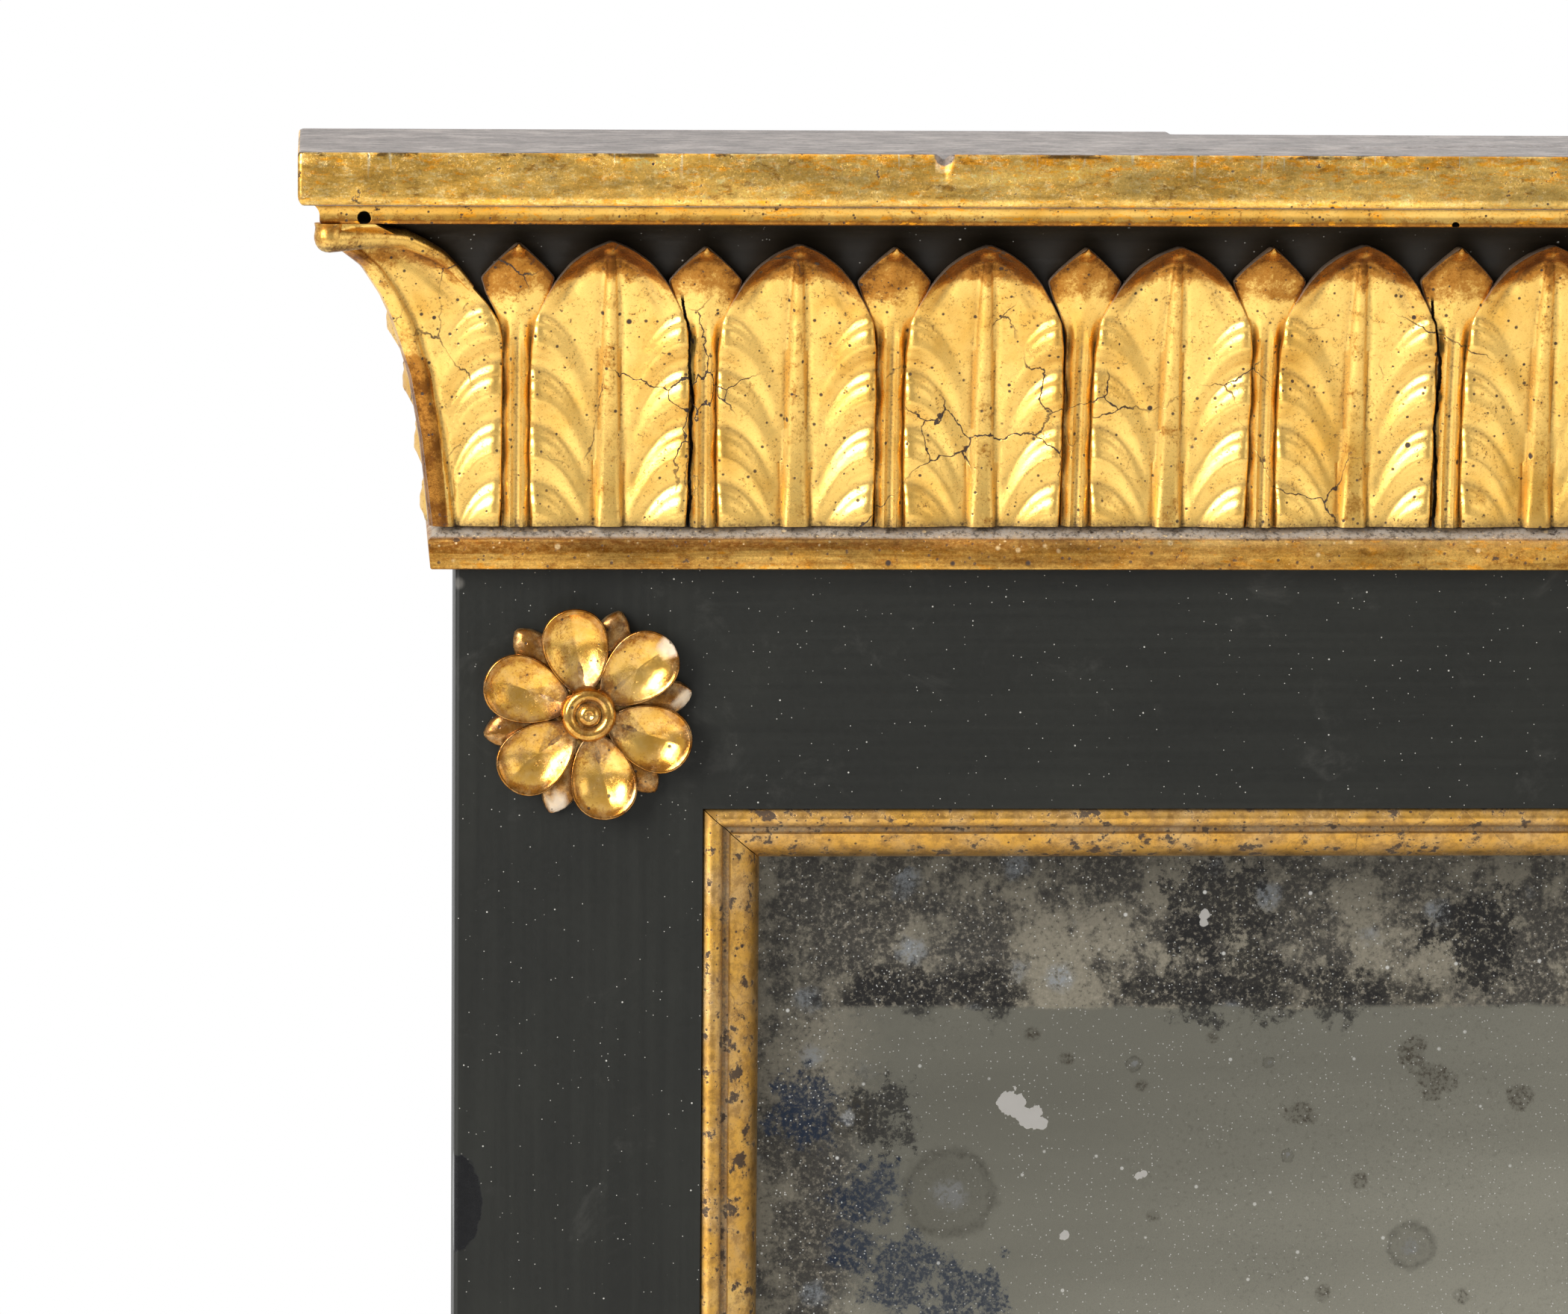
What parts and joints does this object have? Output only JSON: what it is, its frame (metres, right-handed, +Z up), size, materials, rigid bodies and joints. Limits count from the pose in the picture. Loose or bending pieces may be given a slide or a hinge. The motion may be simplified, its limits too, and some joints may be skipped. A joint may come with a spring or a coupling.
{
  "type": "overmantel mirror",
  "caption": "Painted wooden overmantel mirror with a projecting gilt leaf cornice, gilt corner rosettes, a gilt slip round an old silvered plate, and hanging rings at the back.",
  "frame": {"origin": "middle of the underside of the bottom rail, which stands on the mantel shelf", "axes": "+X along the mirror to the viewer's right, +Y from the face to the wall, +Z up"},
  "size_m": [1.0046, 0.0841, 0.848],
  "materials": {
    "dark_paint": "near-black green-grey paint on wood, dusty and worn at the edges",
    "dusty_board": "dark paint under grey dust on top, worn gilding on the edge",
    "gilt_moulding": "worn gold leaf on gesso, amber varnish",
    "gilt_carving": "worn gold leaf on carved wood, dark amber in the hollows",
    "gilt_rosette": "deep amber gold leaf on white gesso, chipped at the rims",
    "silvered_glass": "old tin-backed mirror glass, clouded and foxed",
    "bare_pine": "bare old softwood, darkened",
    "old_iron": "dark forged iron with light rust"
  },
  "bodies": {
    "frame": {"back_board_1": "bare_pine", "back_board_2": "bare_pine", "back_board_3": "bare_pine", "back_nails": "old_iron", "base_fillet_front": "gilt_moulding", "base_fillet_left": "gilt_moulding", "base_fillet_right": "gilt_moulding", "bottom_rail": "dark_paint", "cornice_nails": "old_iron", "cove_front": "dark_paint", "cove_left": "dark_paint", "cove_right": "dark_paint", "crown_bead_front": "gilt_moulding", "crown_bead_left": "gilt_moulding", "crown_bead_right": "gilt_moulding", "hanger_plate_left": "old_iron", "hanger_plate_right": "old_iron", "hanger_screws": "old_iron", "joint_pegs": "bare_pine", "leaf_corner_left": "gilt_carving", "leaf_corner_right": "gilt_carving", "leaf_return_left": "gilt_carving", "leaf_return_right": "gilt_carving", "leaf_strip_1": "gilt_carving", "leaf_strip_2": "gilt_carving", "leaf_strip_3": "gilt_carving", "leaf_strip_4": "gilt_carving", "leaf_strip_5": "gilt_carving", "mirror_plate": "silvered_glass", "plate_blocks": "bare_pine", "rosette_bottom_left": "gilt_rosette", "rosette_bottom_right": "gilt_rosette", "rosette_pins": "old_iron", "rosette_top_left": "gilt_rosette", "rosette_top_right": "gilt_rosette", "slip_bottom": "gilt_moulding", "slip_left": "gilt_moulding", "slip_right": "gilt_moulding", "slip_top": "gilt_moulding", "stile_left": "dark_paint", "stile_right": "dark_paint", "top_board": "dusty_board", "top_rail": "dark_paint"},
    "left_ring": {"hanger_ring_left": "old_iron"},
    "right_ring": {"hanger_ring_right": "old_iron"}
  },
  "joints": [
    {"name": "left_ring_swing", "type": "hinge", "parent": "frame", "child": "left_ring", "pos_m": [-0.3175, 0.0249, 0.7942], "axis": [1, 0, 0], "range_deg": [0, 178]},
    {"name": "right_ring_swing", "type": "hinge", "parent": "frame", "child": "right_ring", "pos_m": [0.3175, 0.0249, 0.7942], "axis": [1, 0, 0], "range_deg": [0, 178]}
  ]
}
